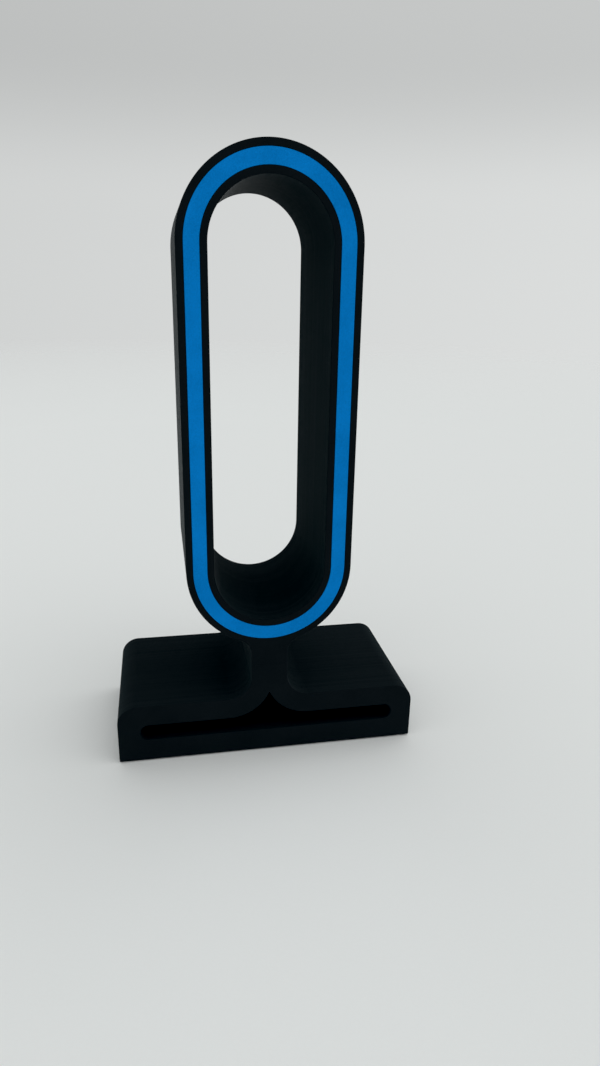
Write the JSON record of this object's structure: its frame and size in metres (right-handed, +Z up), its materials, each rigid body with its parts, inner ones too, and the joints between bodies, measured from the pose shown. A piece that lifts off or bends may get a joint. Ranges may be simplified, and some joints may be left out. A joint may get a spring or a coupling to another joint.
{
  "type": "headphone stand",
  "caption": "Upright obround loop whose round top carries a headband, on a short neck and a wide low base with a through slot; a coloured ring is let into its front.",
  "frame": {"origin": "on the resting plane, under the middle of the stand", "axes": "+Z up, +X to the right and -Y to the front as someone facing the blue ring sees it"},
  "size_m": [0.134, 0.0666, 0.2512],
  "materials": {
    "black_print": "satin black print with fine layer lines",
    "blue_print": "satin blue print, smooth flat face",
    "dark_steel": "black oxide",
    "brass": "turned and knurled",
    "rubber": "matt"
  },
  "bodies": {
    "root": {"loop_frame": "black_print", "base": "black_print", "front_inlay": "blue_print", "neck_screw_front": "dark_steel", "neck_screw_rear": "dark_steel", "screw_insert_front": "brass", "screw_insert_rear": "brass", "foot_pad_front_left": "rubber", "foot_pad_front_right": "rubber", "foot_pad_rear_left": "rubber", "foot_pad_rear_right": "rubber"}
  },
  "joints": []
}
